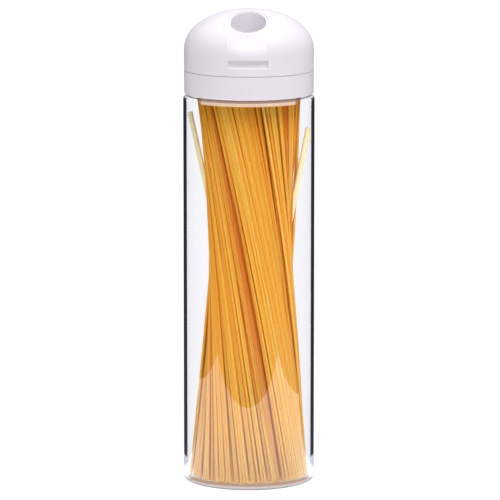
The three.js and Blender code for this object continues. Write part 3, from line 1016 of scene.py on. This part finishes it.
def bundle_row(row):
    """One ring of the bundle, laid in sheaves of a few strands that stray together."""
    share = 1 - row / BUNDLE_ROWS
    outer = row < OUTER_ROWS
    crowding = OUTER_CROWDING if outer else 1.0
    around = int(2 * math.pi * WAIST_RADIUS * share * crowding / (STRAND_PITCH * STRAND_RADIUS))
    strands = []
    i = 0
    while i < around:
        sheaf = random.randint(*SHEAF_SIZE)
        stray = random.gauss(0, SHEAF_STRAY[0] if outer else SHEAF_STRAY[1])
        sink = random.uniform(0, SHEAF_SINK) if outer else 0.0
        bow = random.gauss(0, SHEAF_BOW) if outer else 0.0
        # sunk sheaves and the rings within get painted shade
        middle_tone = MIDDLE_TONE - SUNK_SHEAF_PAINTED_SHADE * sink - INNER_RING_PAINTED_SHADE * min(row, 2)
        sheaf_tone = random.gauss(middle_tone, SHEAF_TONE_SPREAD)
        for k in range(i, min(i + sheaf, around)):
            if outer and random.random() < GAP_CHANCE:
                continue
            place = k + random.uniform(-0.25, 0.25) * outer
            angle = 2 * math.pi * place / around + row * RING_TURN
            tone = min(PALEST_TONE, max(0.0, random.gauss(sheaf_tone, STRAND_TONE_SPREAD)))
            depth = share - sink - random.uniform(0, STRAND_SINK)
            path = bundle_strand(depth, angle, stray + random.gauss(0, STRAND_STRAY), bow)
            strands.append((path, tone, 8 if outer else 6))
        i += sheaf
    return strands


# Two pairs of strands lean out of the bundle's head onto the glass: head and foot, in millimetres.
LOOSE_LEFT = ((-40.3, 3.0, 249.3), (12.2, 12.0, 5.0))
LOOSE_RIGHT = ((40.4, 4.0, 238.5), (-4.0, 14.0, 5.0))
LOOSE_GAP = (1.3, -1.6, 0.6)       # from each of these to its neighbour, towards the bundle


def beside(ends):
    """The neighbour of a loose strand, shifted towards the jar's axis and the front."""
    side = math.copysign(LOOSE_GAP[0], ends[0][0])
    return [(x - side, y + LOOSE_GAP[1], z + LOOSE_GAP[2]) for x, y, z in ends]


def spaghetti(material):
    bundle = []
    for row in range(BUNDLE_ROWS):
        bundle += bundle_row(row)
    strands_object("spaghetti_bundle", bundle, material)
    loose = [(np.array(ends)[::-1] * MM, LOOSE_PAINTED_LIGHT_TONE, LOOSE_SIDES)
             for ends in (LOOSE_LEFT, beside(LOOSE_LEFT), LOOSE_RIGHT, beside(LOOSE_RIGHT))]
    strands_object("spaghetti_loose", loose, material, LOOSE_RADIUS)


# ---- camera, lights and ground ----------------------------------------------------------------

CAMERA_DISTANCE = 2.75
CAMERA_AZIMUTH = math.radians(0.9)  # how far the camera stands to the right of straight in front
CAMERA_HEIGHT = 0.605
CAMERA_AIM = (0.00074, 0.0, 0.1562)
CAMERA_LENS = 297.8


def camera():
    data = bpy.data.cameras.new("camera")
    data.sensor_width = 36
    data.lens = CAMERA_LENS
    data.clip_end = 100
    obj = bpy.data.objects.new("camera", data)
    obj.location = (CAMERA_DISTANCE * math.sin(CAMERA_AZIMUTH),
                    -CAMERA_DISTANCE * math.cos(CAMERA_AZIMUTH), CAMERA_HEIGHT)
    direction = Vector(CAMERA_AIM) - obj.location
    obj.rotation_euler = direction.to_track_quat("-Z", "Y").to_euler()
    bpy.context.scene.collection.objects.link(obj)
    bpy.context.scene.camera = obj


def area_light(name, location, aim, size, power, colour=(1, 1, 1)):
    data = bpy.data.lights.new(name, "AREA")
    data.shape = "RECTANGLE"
    data.size, data.size_y = size
    data.energy = power
    data.color = colour
    obj = bpy.data.objects.new(name, data)
    obj.location = location
    obj.rotation_euler = (Vector(aim) - Vector(location)).to_track_quat("-Z", "Y").to_euler()
    bpy.context.scene.collection.objects.link(obj)


def studio_world():
    """Pale above and to the sides, brighter overhead, and unseen in reflections below."""
    world = bpy.data.worlds.new("studio")
    world.use_nodes = True
    tree = world.node_tree
    background = tree.nodes["Background"]
    direction = add(tree, "ShaderNodeTexCoord").outputs["Generated"]
    upward = add(tree, "ShaderNodeSeparateXYZ", links={"Vector": direction}).outputs["Z"]
    sky = ramp(tree, carried(tree, upward, (-1.0, 1.0)), [
        (0.0, (0.0, 0.0, 0.0, 1)),
        (0.49, (0.0, 0.0, 0.0, 1)),
        (0.5, (0.17, 0.17, 0.18, 1)),
        (0.75, (0.35, 0.35, 0.37, 1)),
        (1.0, (0.95, 0.95, 0.97, 1)),
    ])
    tree.links.new(sky["Color"], background.inputs["Color"])
    background.inputs["Strength"].default_value = 1.0
    bpy.context.scene.world = world


def lights():
    studio_world()
    area_light("top_softbox", (0.14, -0.25, 1.4), (0, 0, 0.3), (1.1, 1.1), 12.3)
    area_light("front_softbox", (0.4, -2.3, 0.8), (0, 0, 0.15), (0.9, 0.9), 5.6)


def emissive_sheet(name, outline, height, strength):
    """A flat white glowing sheet from its outline."""
    mesh = bpy.data.meshes.new(name)
    mesh.from_pydata([(x, y, height) for x, y in outline], [], [tuple(range(len(outline)))])
    sheet = bpy.data.objects.new(name, mesh)
    bpy.context.scene.collection.objects.link(sheet)
    material, tree, output = new_material(name)
    glow = add(tree, "ShaderNodeEmission", {"Color": (1.0, 1.0, 1.0, 1), "Strength": strength})
    tree.links.new(glow.outputs["Emission"], output.inputs["Surface"])
    mesh.materials.append(material)
    return sheet


GROUND_SIZE = 60.0
GROUND_GLOW = 1.06
TABLE_GLOW = 3.9
TABLE_HEIGHT = 0.2 * MM            # the table's sheet lies just above the ground
TABLE_CORNERS = [                  # the bright table top that the front of the glass reflects
    (-0.43, -0.312), (0.42, -0.335), (0.345, 0.03), (-0.405, 0.03),
]


def ground():
    """A pale floor that only the eye and soft light see, and the table top that only mirrors see."""
    half = GROUND_SIZE / 2
    floor = emissive_sheet("ground", [(-half, -half), (half, -half), (half, half), (-half, half)],
                           0.0, GROUND_GLOW)
    floor.visible_glossy = False
    table = emissive_sheet("reflected_table", TABLE_CORNERS, TABLE_HEIGHT, TABLE_GLOW)
    table.visible_camera = False
    table.visible_diffuse = False
    table.visible_transmission = False
    table.visible_shadow = False


# ---- build ------------------------------------------------------------------------------------

camera()
lights()
ground()

white_plastic = moulded_plastic(
    "satin_white_plastic", (0.845, 0.80, 0.85), (0.825, 0.78, 0.835), 0.36, 0.12)
# a matt plastic for the inner parts, made lighter than the white as painted light for the bore seen in
# the spout hole
lightened_inner_plastic = moulded_plastic("matt_lightened_inner_plastic", (0.92, 0.87, 0.92), (0.90, 0.85, 0.90), 0.5, 0.2)
soft_rubber = silicone()
bright_steel = turned_steel()

glass_canister()
collar(white_plastic)
dome_shell(white_plastic)
measuring_sleeve(lightened_inner_plastic)
port_deck(lightened_inner_plastic)
ribbed_gasket(soft_rubber)
sleeve_seal(soft_rubber)
pivot_screw(bright_steel)
dome_post(lightened_inner_plastic)
spaghetti(durum_pasta())

bpy.context.scene.view_settings.view_transform = "Standard"
